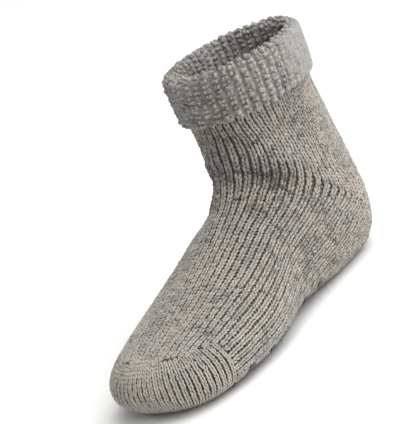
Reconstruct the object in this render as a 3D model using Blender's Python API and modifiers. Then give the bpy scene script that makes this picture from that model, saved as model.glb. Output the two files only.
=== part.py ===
# Slipper sock, one of a pair: a ribbed wool tube with a heel pocket and a closed toe, a thick
# cuff folded down outside the leg, and rubber dots and bars printed under the foot.
# Metres, +Z up. The toe points to -X, the sock stands on z = 0 and is alike on both sides of y = 0.

import math

import bmesh
import bpy
import numpy as np
from mathutils import Vector

# Foot and leg, outside sizes
FOOT_LENGTH = 0.260
BALL_WIDTH = 0.100
TOE_HEIGHT = 0.040
INSTEP_HEIGHT = 0.092
ARCH_RISE = 0.003
ANKLE_DEPTH = 0.097
ANKLE_WIDTH = 0.073
HEEL_RUN = 0.068
HEEL_HEIGHT = 0.038
HEEL_OVERHANG = 0.012
BEND_REACH = 0.030
SOCK_HEIGHT = 0.165
KNIT_WALL = 0.003

# Folded cuff
CUFF_HEIGHT = 0.034
CUFF_WALL = 0.0045
CUFF_STAND = 0.006
CUFF_BULGE = 0.0003
HEM_DRAW = 0.001
FOLD_RISE = 0.0055

# Rubber print
GRIP_THICKNESS = 0.0007
DOT_DIAMETER = 0.0072
DOT_PITCH = 0.023
SMALL_BAR_WIDTH = 0.0075
SMALL_BAR_LENGTH = 0.0095
LARGE_BAR_WIDTH = 0.0145
LARGE_BAR_LENGTH = 0.0190
BAR_CORNER = 0.0022
BAR_SPACE = 0.0032

# Fits
FIT_GAP = 0.0003
SOLE_PRESS = 0.0015
REST_RAMP = 0.022

HEEL_BACK = FOOT_LENGTH / 2
LEG_BACK = HEEL_BACK - HEEL_OVERHANG
LEG_FRONT = LEG_BACK - ANKLE_DEPTH
LEG_TOP = SOCK_HEIGHT - FOLD_RISE
CUFF_EDGE = SOCK_HEIGHT - CUFF_HEIGHT
FOREFOOT_REST = FIT_GAP + GRIP_THICKNESS

# Upright sections of the foot, from the toe back to the instep.
# along: share of FOOT_LENGTH from the heel's back; rise: share of the climb from TOE_HEIGHT to
# INSTEP_HEIGHT; fill: share of the full height, about the nose; width: share of BALL_WIDTH;
# lift: share of ARCH_RISE; belly: height of the widest place; crown, base: how square the halves are
FOOT_ROWS = [
    # along, rise, fill, width, lift, belly, crown, base
    (0.9985, 0.00, 0.17, 0.16, 0.0, 0.46, 2.0, 2.0),
    (0.990, 0.00, 0.40, 0.37, 0.0, 0.46, 2.0, 2.1),
    (0.971, 0.00, 0.66, 0.58, 0.0, 0.46, 2.1, 2.2),
    (0.940, 0.00, 0.87, 0.745, 0.0, 0.45, 2.1, 2.4),
    (0.895, 0.03, 0.98, 0.865, 0.0, 0.44, 2.1, 2.6),
    (0.835, 0.10, 1.00, 0.945, 0.0, 0.43, 2.1, 2.7),
    (0.760, 0.21, 1.00, 0.990, 0.0, 0.41, 2.05, 2.8),
    (0.680, 0.34, 1.00, 1.000, 0.1, 0.39, 2.0, 2.8),
    (0.600, 0.49, 1.00, 0.950, 0.5, 0.38, 2.0, 2.7),
    (0.530, 0.64, 1.00, 0.875, 1.0, 0.38, 2.0, 2.6),
]

# Sections that fan round the bend of the ankle, from the instep to the back of the heel.
# ahead, above: place of the front end, as shares of BEND_REACH from where the bend's lines meet;
# inset: share of HEEL_RUN in from the heel's back; up: share of HEEL_HEIGHT; width: share of ANKLE_WIDTH
HEEL_ROWS = [
    # ahead, above, inset, up, width, belly, crown, base
    (0.73, -0.52, 1.72, 0.085, 1.10, 0.39, 2.0, 2.6),
    (0.50, -0.36, 1.36, 0.045, 1.055, 0.41, 2.0, 2.6),
    (0.32, -0.19, 1.00, 0.00, 1.025, 0.43, 2.0, 2.7),
    (0.19, -0.02, 0.64, 0.00, 1.005, 0.45, 2.0, 2.7),
    (0.10, 0.14, 0.33, 0.03, 1.00, 0.47, 2.05, 2.6),
    (0.05, 0.31, 0.125, 0.24, 1.00, 0.48, 2.1, 2.45),
    (0.02, 0.47, 0.022, 0.60, 1.00, 0.49, 2.1, 2.3),
    (0.00, 0.62, 0.000, 1.00, 1.00, 0.50, 2.1, 2.2),
]

# Sections of the leg, from above the heel to the collar.
# front, back: height of each end as a share of the way from the bend or the heel to the cuff's edge;
# overhang: share of HEEL_OVERHANG still standing behind the leg
LEG_ROWS = [
    # front, back, overhang, width, belly, crown, base
    (0.69, 0.22, 0.86, 1.00, 0.50, 2.1, 2.1),
    (0.79, 0.46, 0.60, 0.99, 0.50, 2.1, 2.1),
    (0.89, 0.74, 0.28, 0.99, 0.50, 2.1, 2.1),
    (1.00, 1.00, 0.00, 1.00, 0.50, 2.1, 2.1),
]

# Rows of dots under the arch and the forefoot.
# along: share of FOOT_LENGTH from the heel's back; dots: how many the row has
DOT_ROWS = [
    # along, dots
    (0.385, 4),
    (0.431, 3),
    (0.477, 4),
    (0.523, 3),
    (0.705, 5),
    (0.751, 4),
    (0.797, 5),
    (0.843, 4),
]

# Rows of bars across the ball of the foot, a row of small ones and a row of large ones.
BAR_ROWS = [
    # along, bars, length, width
    (0.571, 7, SMALL_BAR_LENGTH, SMALL_BAR_WIDTH),
    (0.634, 5, LARGE_BAR_LENGTH, LARGE_BAR_WIDTH),
]

# Height of the toe's foremost point, as a share of the toe's height
NOSE = 0.46

# Folded cuff, from the hem up: where the outer face is fullest, and where the inner face meets the leg
CUFF_FULL = (0.35, 0.65)
CUFF_MEETS = 0.6

# Fineness of the facets
STEPS_PER_ROW = 2
POINTS_AROUND = 40
POINTS_ON_DOT = 10
ROUND_STEPS = 6

# Fineness of the measuring on the skin
SIDE_ANGLE = 0.7 * math.pi
SIDE_STEPS = 60
FEELER = 0.0008


def foot_section(along, rise, fill, width, lift, belly, crown, base):
    """An upright section: top end, sole end, half width and roundness."""
    x = HEEL_BACK - along * FOOT_LENGTH
    height = TOE_HEIGHT + rise * (INSTEP_HEIGHT - TOE_HEIGHT)
    top = height * (NOSE + (1 - NOSE) * fill)
    sole = height * NOSE * (1 - fill) + lift * ARCH_RISE - SOLE_PRESS * fill
    return np.array([x, top, x, sole, width * BALL_WIDTH / 2, belly, crown, base])


def heel_section(ahead, above, inset, up, width, belly, crown, base):
    """A slanted section between the bend of the ankle and the heel."""
    front_x = LEG_FRONT - ahead * BEND_REACH
    front_z = INSTEP_HEIGHT + above * BEND_REACH
    back_x = HEEL_BACK - inset * HEEL_RUN
    back_z = up * HEEL_HEIGHT - SOLE_PRESS * (1 - up)
    return np.array([front_x, front_z, back_x, back_z, width * ANKLE_WIDTH / 2, belly, crown, base])


def leg_section(front, back, overhang, width, belly, crown, base):
    """A section of the leg, level once it reaches the cuff."""
    front_z = INSTEP_HEIGHT + front * (CUFF_EDGE - INSTEP_HEIGHT)
    back_z = HEEL_HEIGHT + back * (CUFF_EDGE - HEEL_HEIGHT)
    back_x = LEG_BACK + overhang * HEEL_OVERHANG
    return np.array([LEG_FRONT, front_z, back_x, back_z, width * ANKLE_WIDTH / 2, belly, crown, base])


def collar_section(height):
    """A level section of the leg under the folded cuff."""
    last = LEG_ROWS[-1]
    section = leg_section(*last)
    section[1] = height
    section[3] = height
    return section


def sock_sections():
    """Every section of the sock, from the toe to the collar."""
    sections = [foot_section(*row) for row in FOOT_ROWS]
    sections += [heel_section(*row) for row in HEEL_ROWS]
    sections += [leg_section(*row) for row in LEG_ROWS]
    sections.append(collar_section((CUFF_EDGE + LEG_TOP) / 2))
    sections.append(collar_section(LEG_TOP))
    return sections


def section_between(sections, place):
    """The section at a place along the sock, on a smooth curve through the rows."""
    first = min(max(int(place), 0), len(sections) - 2)
    share = place - first
    before = sections[max(first - 1, 0)]
    start = sections[first]
    end = sections[first + 1]
    after = sections[min(first + 2, len(sections) - 1)]
    bend = 2 * before - 5 * start + 4 * end - after
    twist = 3 * start - before - 3 * end + after
    return 0.5 * (2 * start + (end - before) * share + bend * share**2 + twist * share**3)


def rest_level(x):
    """Height that the knit rests at: on the floor at the heel, on the print under the forefoot."""
    forward = (HEEL_BACK - HEEL_RUN - x) / REST_RAMP
    share = min(max(forward, 0.0), 1.0)
    return FOREFOOT_REST * share


def ring_point(section, angle):
    """A point of a section; the angle runs all round it from the sole's centre line."""
    top_x, top_z, sole_x, sole_z, half_width, belly, crown, base = section
    side = math.sin(angle)
    climb = -math.cos(angle)
    squareness = crown if climb > 0 else base
    power = 2 / squareness
    y = half_width * math.copysign(abs(side) ** power, side)
    reach = abs(climb) ** power
    share = belly + (1 - belly) * reach if climb > 0 else belly * (1 - reach)
    x = sole_x + share * (top_x - sole_x)
    z = sole_z + share * (top_z - sole_z)
    return Vector((x, y, max(z, rest_level(x))))


def make_material(name, colour, roughness):
    material = bpy.data.materials.new(name)
    material.use_nodes = True
    shader = material.node_tree.nodes["Principled BSDF"]
    shader.inputs["Base Color"].default_value = (*colour, 1)
    shader.inputs["Roughness"].default_value = roughness
    shader.inputs["Metallic"].default_value = 0
    return material


def add_object(name, mesh_data, material, collection):
    """Turn a bmesh into a named object with its faces pointing out."""
    bmesh.ops.recalc_face_normals(mesh_data, faces=mesh_data.faces)
    mesh = bpy.data.meshes.new(name)
    mesh_data.to_mesh(mesh)
    mesh_data.free()
    mesh.shade_smooth()
    mesh.set_sharp_from_angle(angle=math.radians(50))
    mesh.materials.append(material)
    part = bpy.data.objects.new(name, mesh)
    collection.objects.link(part)
    return part


def bridge(mesh_data, lower, upper):
    """Join two rings of the same count with quads."""
    count = len(lower)
    for k in range(count):
        following = (k + 1) % count
        mesh_data.faces.new((lower[k], lower[following], upper[following], upper[k]))


def add_knit(sections, material, collection):
    """The knitted tube: an open skin from toe to collar, thickened inwards."""
    mesh_data = bmesh.new()
    turn = 2 * math.pi / POINTS_AROUND
    rings = []
    for step in range((len(sections) - 1) * STEPS_PER_ROW + 1):
        section = section_between(sections, step / STEPS_PER_ROW)
        rings.append([mesh_data.verts.new(ring_point(section, k * turn)) for k in range(POINTS_AROUND)])
    for lower, upper in zip(rings, rings[1:]):
        bridge(mesh_data, lower, upper)
    toe_tip = mesh_data.verts.new((HEEL_BACK - FOOT_LENGTH, 0, TOE_HEIGHT * NOSE))
    for k in range(POINTS_AROUND):
        mesh_data.faces.new((rings[0][k], toe_tip, rings[0][(k + 1) % POINTS_AROUND]))
    knit = add_object("knit_leg_and_foot", mesh_data, material, collection)
    wall = knit.modifiers.new("wall", "SOLIDIFY")
    wall.thickness = KNIT_WALL
    wall.offset = -1
    return knit


def cuff_outline():
    """Outline of the folded cuff, as distance out from the leg's face and height."""
    lip = LEG_TOP + FIT_GAP
    hem_centre = CUFF_STAND - HEM_DRAW - CUFF_WALL / 2
    hem_height = CUFF_EDGE + CUFF_WALL / 2
    points = [(-KNIT_WALL, lip), (FIT_GAP, lip), (FIT_GAP, CUFF_EDGE + CUFF_MEETS * CUFF_HEIGHT)]
    for step in range(ROUND_STEPS + 1):
        angle = math.pi * (1 + step / ROUND_STEPS)
        out = hem_centre + CUFF_WALL / 2 * math.cos(angle)
        points.append((out, hem_height + CUFF_WALL / 2 * math.sin(angle)))
    for share in CUFF_FULL:
        out = CUFF_STAND + CUFF_BULGE - (1 - share) * HEM_DRAW
        points.append((out, CUFF_EDGE + share * CUFF_HEIGHT))
    fold_centre = (CUFF_STAND - KNIT_WALL) / 2
    fold_reach = (CUFF_STAND + KNIT_WALL) / 2
    for step in range(ROUND_STEPS):
        angle = math.pi * step / ROUND_STEPS
        out = fold_centre + fold_reach * math.cos(angle)
        points.append((out, lip + (SOCK_HEIGHT - lip) * math.sin(angle)))
    return points


def add_cuff(material, collection):
    """The end of the tube folded down outside the leg, resting on the leg's top edge."""
    mesh_data = bmesh.new()
    turn = 2 * math.pi / POINTS_AROUND
    rings = []
    for out, height in cuff_outline():
        section = collar_section(height)
        section[0] -= out
        section[2] += out
        section[4] += out
        rings.append([mesh_data.verts.new(ring_point(section, k * turn)) for k in range(POINTS_AROUND)])
    for lower, upper in zip(rings, rings[1:] + rings[:1]):
        bridge(mesh_data, lower, upper)
    return add_object("turned_cuff", mesh_data, material, collection)


class Skin:
    """The outer face of the sock, reached by distance along the sole and round from its centre line."""

    def __init__(self, sections):
        places = np.arange(0, len(FOOT_ROWS) + 3, 0.05)
        self.sections = sections
        self.places = places
        self.soles = [section_between(sections, place)[2] for place in places]

    def point(self, x, across):
        """A point at x on the sole line, and a distance round the section from there."""
        section = section_between(self.sections, float(np.interp(x, self.soles, self.places)))
        angles = np.linspace(0, SIDE_ANGLE, SIDE_STEPS)
        points = np.array([ring_point(section, angle) for angle in angles])
        steps = np.linalg.norm(np.diff(points, axis=0), axis=1)
        lengths = np.concatenate([[0], np.cumsum(steps)])
        spot = [float(np.interp(abs(across), lengths, points[:, axis])) for axis in range(3)]
        spot[1] = math.copysign(spot[1], across)
        return Vector(spot)

    def lifted(self, x, across, offset):
        """A point at a distance from the outer face, straight out from it."""
        along = self.point(x + FEELER, across) - self.point(x - FEELER, across)
        round_it = self.point(x, across + FEELER) - self.point(x, across - FEELER)
        outwards = round_it.cross(along).normalized()
        return self.point(x, across) + outwards * offset


def add_grip(name, outline, x, across, rings_in, skin, material, collection):
    """A thin printed patch that follows the skin, a small gap away from it."""
    mesh_data = bmesh.new()
    layers = []
    for offset in (FIT_GAP, FIT_GAP + GRIP_THICKNESS):
        rings = []
        for ring in range(rings_in + 1):
            share = 1 - ring / (rings_in + 1)
            spots = [(x + share * a, across + share * b) for a, b in outline]
            rings.append([mesh_data.verts.new(skin.lifted(*spot, offset)) for spot in spots])
        centre = mesh_data.verts.new(skin.lifted(x, across, offset))
        for outer, inner in zip(rings, rings[1:]):
            bridge(mesh_data, outer, inner)
        last = rings[-1]
        for k in range(len(last)):
            mesh_data.faces.new((last[k], last[(k + 1) % len(last)], centre))
        layers.append(rings[0])
    bridge(mesh_data, layers[0], layers[1])
    return add_object(name, mesh_data, material, collection)


def dot_outline():
    radius = DOT_DIAMETER / 2
    turn = 2 * math.pi / POINTS_ON_DOT
    return [(radius * math.cos(k * turn), radius * math.sin(k * turn)) for k in range(POINTS_ON_DOT)]


def bar_outline(length, width):
    """A rectangle with cut corners, length along the foot and width across it."""
    a = length / 2
    b = width / 2
    corner = BAR_CORNER
    half = [(a, 0), (a, b - corner), (a - corner, b), (0, b), (corner - a, b), (-a, b - corner)]
    return half + [(-p, -q) for p, q in half]


def add_dots(skin, material, collection):
    """Staggered rows of round dots under the arch and the forefoot."""
    outline = dot_outline()
    number = 0
    for along, count in DOT_ROWS:
        x = HEEL_BACK - along * FOOT_LENGTH
        for k in range(count):
            number += 1
            across = (k - (count - 1) / 2) * DOT_PITCH
            add_grip(f"grip_dot_{number:02d}", outline, x, across, 0, skin, material, collection)


def add_bars(skin, material, collection):
    """A row of small bars and a row of large ones across the ball of the foot."""
    number = 0
    for along, count, length, width in BAR_ROWS:
        x = HEEL_BACK - along * FOOT_LENGTH
        outline = bar_outline(length, width)
        for k in range(count):
            number += 1
            across = (k - (count - 1) / 2) * (width + BAR_SPACE)
            add_grip(f"grip_bar_{number:02d}", outline, x, across, 1, skin, material, collection)


def build():
    for old in list(bpy.data.objects):
        bpy.data.objects.remove(old)
    collection = bpy.data.collections.new("slipper_sock")
    bpy.context.scene.collection.children.link(collection)
    wool = make_material("grey_wool", (0.43, 0.40, 0.36), 0.95)
    plush = make_material("brushed_wool", (0.38, 0.36, 0.33), 1.0)
    rubber = make_material("grip_rubber", (0.053, 0.058, 0.071), 0.55)
    sections = sock_sections()
    add_knit(sections, wool, collection)
    add_cuff(plush, collection)
    skin = Skin(sections)
    add_dots(skin, rubber, collection)
    add_bars(skin, rubber, collection)


build()
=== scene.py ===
import math

import bpy
import numpy as np
from mathutils import Matrix, Vector, noise


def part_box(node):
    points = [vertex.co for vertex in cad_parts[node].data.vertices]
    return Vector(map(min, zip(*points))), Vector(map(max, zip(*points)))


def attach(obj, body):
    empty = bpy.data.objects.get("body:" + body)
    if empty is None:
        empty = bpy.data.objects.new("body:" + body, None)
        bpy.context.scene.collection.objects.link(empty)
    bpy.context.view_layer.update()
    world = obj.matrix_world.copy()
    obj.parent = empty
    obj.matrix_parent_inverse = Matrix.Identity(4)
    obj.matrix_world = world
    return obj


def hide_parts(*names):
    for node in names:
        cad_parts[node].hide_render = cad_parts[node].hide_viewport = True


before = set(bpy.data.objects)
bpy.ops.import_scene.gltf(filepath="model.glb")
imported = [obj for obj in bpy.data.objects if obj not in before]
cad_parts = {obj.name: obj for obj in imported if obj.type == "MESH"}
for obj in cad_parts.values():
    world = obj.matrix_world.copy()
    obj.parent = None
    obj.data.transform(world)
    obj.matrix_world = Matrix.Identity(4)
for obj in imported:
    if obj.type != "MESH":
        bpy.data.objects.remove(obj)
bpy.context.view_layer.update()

# Ground of the knitted tube: leg, heel pocket, foot and toe pocket, knitted whole from wool yarn.
# It is the thin sheet of wool behind the ribs, coloured far darker than the yarn as painted shade in the
# grooves between them.
# Its sections follow the knit's own box in the frame; the tables hold shares of those sizes.
knit_low, knit_high = [Vector(corner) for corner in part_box("knit_leg_and_foot")]
cuff_low, cuff_high = [Vector(corner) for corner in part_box("turned_cuff")]
heel_back = knit_high.x
foot_length = knit_high.x - knit_low.x
ball_width = knit_high.y - knit_low.y
leg_top = knit_high.z
cuff_edge = cuff_low.z
sock_height = cuff_high.z
toe_height = 0.040
instep_height = 0.092
arch_rise = 0.003
ankle_depth = 0.097
ankle_width = 0.073
heel_run = 0.068
heel_height = 0.038
heel_overhang = 0.012
bend_reach = 0.030
knit_wall = 0.003
sole_press = 0.0015
forefoot_rest = 0.001
rest_ramp = 0.022
nose = 0.46
foot_rows = [
    # along, rise, fill, width, lift, belly, crown, base
    (0.9985, 0.00, 0.17, 0.16, 0.0, 0.46, 2.0, 2.0),
    (0.990, 0.00, 0.40, 0.37, 0.0, 0.46, 2.0, 2.1),
    (0.971, 0.00, 0.66, 0.58, 0.0, 0.46, 2.1, 2.2),
    (0.940, 0.00, 0.87, 0.745, 0.0, 0.45, 2.1, 2.4),
    (0.895, 0.03, 0.98, 0.865, 0.0, 0.44, 2.1, 2.6),
    (0.835, 0.10, 1.00, 0.945, 0.0, 0.43, 2.1, 2.7),
    (0.760, 0.21, 1.00, 0.990, 0.0, 0.41, 2.05, 2.8),
    (0.680, 0.34, 1.00, 1.000, 0.1, 0.39, 2.0, 2.8),
    (0.600, 0.49, 1.00, 0.950, 0.5, 0.38, 2.0, 2.7),
    (0.530, 0.64, 1.00, 0.875, 1.0, 0.38, 2.0, 2.6),
]
heel_rows = [
    # ahead, above, inset, up, width, belly, crown, base
    (0.73, -0.52, 1.72, 0.085, 1.10, 0.39, 2.0, 2.6),
    (0.50, -0.36, 1.36, 0.045, 1.055, 0.41, 2.0, 2.6),
    (0.32, -0.19, 1.00, 0.00, 1.025, 0.43, 2.0, 2.7),
    (0.19, -0.02, 0.64, 0.00, 1.005, 0.45, 2.0, 2.7),
    (0.10, 0.14, 0.33, 0.03, 1.00, 0.47, 2.05, 2.6),
    (0.05, 0.31, 0.125, 0.24, 1.00, 0.48, 2.1, 2.45),
    (0.02, 0.47, 0.022, 0.60, 1.00, 0.49, 2.1, 2.3),
    (0.00, 0.62, 0.000, 1.00, 1.00, 0.50, 2.1, 2.2),
]
leg_rows = [
    # front, back, overhang, width, belly, crown, base
    (0.69, 0.22, 0.86, 1.00, 0.50, 2.1, 2.1),
    (0.79, 0.46, 0.60, 0.99, 0.50, 2.1, 2.1),
    (0.89, 0.74, 0.28, 0.99, 0.50, 2.1, 2.1),
    (1.00, 1.00, 0.00, 1.00, 0.50, 2.1, 2.1),
]
leg_back = heel_back - heel_overhang
leg_front = leg_back - ankle_depth


def foot_section(along, rise, fill, width, lift, belly, crown, base):
    """An upright section of the foot: its top and sole points, half width and three values of its shape."""
    x = heel_back - along * foot_length
    height = toe_height + rise * (instep_height - toe_height)
    top = height * (nose + (1 - nose) * fill)
    sole = height * nose * (1 - fill) + lift * arch_rise - sole_press * fill
    return (x, top, x, sole, width * ball_width / 2, belly, crown, base)


def heel_section(ahead, above, inset, up, width, belly, crown, base):
    """A section of the heel pocket, slanted from the bend of the instep to the back of the heel."""
    front = (leg_front - ahead * bend_reach, instep_height + above * bend_reach)
    back = (heel_back - inset * heel_run, up * heel_height - sole_press * (1 - up))
    return (*front, *back, width * ankle_width / 2, belly, crown, base)


def leg_section(front, back, overhang, width, belly, crown, base):
    """A section of the leg, from its front edge to its back edge."""
    front_z = instep_height + front * (cuff_edge - instep_height)
    back_z = heel_height + back * (cuff_edge - heel_height)
    back_x = leg_back + overhang * heel_overhang
    return (leg_front, front_z, back_x, back_z, width * ankle_width / 2, belly, crown, base)


def collar_section(height):
    """The leg's last section, laid level at a height."""
    front, _, back, *rest = leg_section(*leg_rows[-1])
    return (front, height, back, height, *rest[1:])


# A place counts these sections from the toe's tip, and a turn is a share of the way round from the sole
sections = [foot_section(*row) for row in foot_rows]
sections += [heel_section(*row) for row in heel_rows]
sections += [leg_section(*row) for row in leg_rows]
sections += [collar_section((cuff_edge + leg_top) / 2), collar_section(leg_top)]
sections = np.array(sections)
last_place = len(sections) - 1


def sections_at(places):
    """The sections at places along the sock, on smooth curves through the rows."""
    places = np.clip(places, 0, last_place)
    first = np.minimum(places.astype(int), last_place - 1)
    share = (places - first)[:, None]
    before = sections[np.maximum(first - 1, 0)]
    start = sections[first]
    end = sections[first + 1]
    after = sections[np.minimum(first + 2, last_place)]
    bend = 2 * before - 5 * start + 4 * end - after
    twist = 3 * start - before - 3 * end + after
    return 0.5 * (2 * start + (end - before) * share + bend * share**2 + twist * share**3)


def ease_in(value, start, run):
    """0 up to start, then evenly up to 1 over run."""
    return np.clip((value - start) / run, 0, 1)


def swell(value, centre, reach, power=2):
    """1 at the centre, falling softly to nothing past reach; a higher power makes its top flatter."""
    return np.exp(-(((value - centre) / reach) ** power))


def rest_height(x):
    """Lowest height of the skin at x: the floor under the heel, the print's thickness ahead of it."""
    return forefoot_rest * np.clip((heel_back - heel_run - x) / rest_ramp, 0, 1)


def lengths_along(paths):
    """Distance covered at each point of a path, or of each path in a grid of them."""
    steps = np.linalg.norm(np.diff(paths, axis=-2), axis=-1)
    return np.concatenate([np.zeros((*steps.shape[:-1], 1)), np.cumsum(steps, axis=-1)], axis=-1)


def ring_points(rows, angles):
    """Points of the skin, one section for each row of angles, counted from the sole's centre line."""
    top_x, top_z, sole_x, sole_z, half, belly, crown, base = [column[:, None] for column in rows.T]
    side = np.sin(angles)
    climb = -np.cos(angles)
    power = 2 / np.where(climb > 0, crown, base)
    y = half * np.sign(side) * np.abs(side) ** power
    reach = np.abs(climb) ** power
    share = np.where(climb > 0, belly + (1 - belly) * reach, belly * (1 - reach))
    x = sole_x + share * (top_x - sole_x)
    z = sole_z + share * (top_z - sole_z)
    return np.stack([x, y, np.maximum(z, rest_height(x))], axis=-1)


def even_angles(rows, turns):
    """Angles that divide each section's girth evenly, and the girths."""
    fine = np.linspace(0, 2 * math.pi, 721)
    lengths = lengths_along(ring_points(rows, np.tile(fine, (len(rows), 1))))
    angles = [np.interp(turn % 1, line / line[-1], fine) for turn, line in zip(turns, lengths)]
    return np.array(angles), lengths[:, -1]


rib_count = 54
lines_per_rib = 4
line_count = rib_count * lines_per_rib
place_count = 560
# The heel's gore draws the ribs towards the sides where they turn from the leg into the foot
gore_place = 15.4
gore_reach = 1.3
gore_shift = 0.034
gore_width = 0.33
crease_rows = [
    # turn, place, half width in turns, half width in places, depth in metres
    (0.50, 14.6, 0.13, 0.42, -0.0011),
    (0.47, 16.4, 0.16, 0.55, 0.0007),
    (0.53, 18.3, 0.14, 0.50, -0.0009),
    (0.36, 13.2, 0.10, 0.60, -0.0008),
    (0.66, 13.4, 0.10, 0.60, -0.0009),
    (0.30, 19.6, 0.12, 0.45, -0.0007),
    (0.70, 19.3, 0.12, 0.45, -0.0008),
    (0.27, 16.8, 0.10, 0.70, 0.0007),
    (0.73, 16.6, 0.10, 0.70, 0.0007),
    (0.50, 9.6, 0.16, 0.70, 0.0006),
    (0.62, 14.3, 0.06, 0.90, -0.0015),
    (0.38, 14.1, 0.06, 0.90, -0.0013),
    (0.60, 11.4, 0.05, 0.90, -0.0011),
    (0.41, 11.2, 0.05, 0.90, -0.0010),
    (0.635, 4.85, 0.022, 0.2, -0.0015),
    (0.365, 4.85, 0.022, 0.2, -0.0015),
]
line_turns = np.arange(line_count) / line_count
places = np.linspace(0, last_place, place_count)
rows = sections_at(places)
pull = np.sin(np.clip(np.minimum(line_turns, 1 - line_turns) / gore_width, 0, 1) * math.pi)
pull *= np.sign(0.5 - line_turns)
tent = np.clip(1 - np.abs(places - gore_place) / gore_reach, 0, 1)
# Each rib wanders a little round the tube, as knitted wool does
wander = 0.0013 * np.sin(6 * math.pi * line_turns[None, :] + 0.9 * places[:, None])
wander += 0.0007 * np.sin(14 * math.pi * line_turns[None, :] - 1.7 * places[:, None])
turns = line_turns[None, :] - gore_shift * tent[:, None] * pull[None, :] + wander
angles, girths = even_angles(rows, turns)
skin = ring_points(rows, angles)
around = np.roll(skin, -1, axis=1) - np.roll(skin, 1, axis=1)
along = np.gradient(skin, axis=0)
out = np.cross(around, along)
out /= np.linalg.norm(out, axis=2, keepdims=True)


def crease(turn, place):
    """Height of the soft creases over the smooth skin."""
    height = 0
    for crease_turn, crease_place, wide, tall, depth in crease_rows:
        gap = (turn - crease_turn + 0.5) % 1 - 0.5
        height = height + depth * np.exp(-((gap / wide) ** 2) - ((place - crease_place) / tall) ** 2)
    return height


skin = skin + out * crease(line_turns[None, :], places[:, None])[:, :, None]


def relief(turn, place):
    """How deep the ribs are: deep on the front and sides, shallow where the wool is stretched flat."""
    from_back = np.minimum(turn, 1 - turn)
    on_leg = place > 14
    side = 0.30 - 0.15 * ease_in(place, 15.5, 1.5)
    front = swell(turn, 0.5, 0.27 - 0.095 * ease_in(place, 7.5, 3.0), 4)
    stretch = 0.58 + 0.17 * ease_in(place, 12.0, 2.5)
    bend = 0.35 * swell(turn, 0.5, 0.12) * ease_in(place, 12.0, 2)
    bend += 0.40 * swell(from_back, 0, 0.05) * on_leg
    leg_back = swell(from_back, 0, 0.15) * on_leg
    toes = swell(place, 4.0, 3.4) * swell(turn, 0.5, 0.16)
    under_cuff = 0.25 * ease_in(place, 20.0, 1.6)
    mitre = swell(place, gore_place, 1.2)
    sunk = side + stretch * front + bend - 0.30 * leg_back - 0.85 * toes - under_cuff + 0.30 * mitre
    return np.clip(sunk, 0.06, 1.25)


def make_mesh(name, points, faces, material):
    """A smooth-shaded mesh object at the origin, with its material."""
    mesh = bpy.data.meshes.new(name)
    mesh.from_pydata([tuple(point) for point in points], [], faces)
    mesh.shade_smooth()
    mesh.materials.append(material)
    piece = bpy.data.objects.new(name, mesh)
    bpy.context.scene.collection.objects.link(piece)
    return piece


def add_node(tree, kind, **values):
    """A node of a material or a geometry tree; each value goes to a socket or to a setting."""
    node = tree.nodes.new(kind)
    for key, value in values.items():
        if hasattr(node, key):
            setattr(node, key, value)
        else:
            node.inputs[key.replace("_", " ")].default_value = value
    return node


def new_material(name, **values):
    """A material, its node tree and its Principled shader, with values for the shader's sockets."""
    material = bpy.data.materials.new(name)
    material.use_nodes = True
    shader = material.node_tree.nodes["Principled BSDF"]
    for socket, value in values.items():
        shader.inputs[socket.replace("_", " ")].default_value = value
    return material, material.node_tree, shader


def colour_ramp(tree, stops):
    """A colour ramp from a row of stops, each a position and a colour."""
    ramp = add_node(tree, "ShaderNodeValToRGB")
    elements = ramp.color_ramp.elements
    elements[0].position = stops[0][0]
    elements[1].position = stops[-1][0]
    for position, _ in stops[1:-1]:
        elements.new(position)
    for element, (_, colour) in zip(elements, stops):
        element.color = (*colour, 1)
    return ramp


def weigh(tree, source, weight, base=None):
    """A value times its weight, added to a base where there is one."""
    node = add_node(tree, "ShaderNodeMath", operation="MULTIPLY_ADD")
    node.inputs[1].default_value = weight
    node.inputs[2].default_value = 0.0
    tree.links.new(source, node.inputs[0])
    if base is not None:
        tree.links.new(base, node.inputs[2])
    return node.outputs[0]


def wool_material(name, dark, middle, light, fleck_scale, fuzz_depth=0.0004):
    """Heather wool: blended yarn with dark and light flecks, dull, with a little fuzz sheen."""
    material, tree, shader = new_material(
        name, Roughness=0.95, Specular_IOR_Level=0.12, Sheen_Weight=0.25, Sheen_Roughness=0.6
    )
    link = tree.links.new
    place = add_node(tree, "ShaderNodeTexCoord")
    fleck = add_node(tree, "ShaderNodeTexNoise", Scale=fleck_scale, Detail=4.0, Roughness=0.62)
    streak = add_node(tree, "ShaderNodeTexNoise", Scale=fleck_scale * 0.28, Detail=3.0, Roughness=0.6)
    cloud = add_node(tree, "ShaderNodeTexNoise", Scale=42.0, Detail=2.0, Roughness=0.5)
    for texture in (fleck, streak, cloud):
        link(place.outputs["Object"], texture.inputs["Vector"])
    # Each stitch carries a value in the attribute, over the flecks of the blend: its own shade of yarn, and
    # on the tube's stitches also painted light and shade
    stitch = add_node(tree, "ShaderNodeAttribute", attribute_name="fleck")
    blend = weigh(tree, fleck.outputs["Fac"], 0.65)
    blend = weigh(tree, streak.outputs["Fac"], 0.35, blend)
    blend = weigh(tree, stitch.outputs["Fac"], 0.07, blend)
    yarn = colour_ramp(tree, ((0.36, dark), (0.47, middle), (0.62, light)))
    link(blend, yarn.inputs["Fac"])
    # Soft patches, cooler and warmer, run over the whole sock
    patches = colour_ramp(tree, ((0.35, (0.85, 0.87, 0.89)), (0.65, (1.0, 0.975, 0.935))))
    link(cloud.outputs["Fac"], patches.inputs["Fac"])
    tint = add_node(tree, "ShaderNodeMix", data_type="RGBA", blend_type="MULTIPLY")
    tint.inputs["Factor"].default_value = 1.0
    link(yarn.outputs["Color"], tint.inputs[6])
    link(patches.outputs["Color"], tint.inputs[7])
    link(tint.outputs[2], shader.inputs["Base Color"])
    bump = add_node(tree, "ShaderNodeBump", Strength=0.7, Distance=fuzz_depth)
    link(fleck.outputs["Fac"], bump.inputs["Height"])
    link(bump.outputs["Normal"], shader.inputs["Normal"])
    return material


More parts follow.
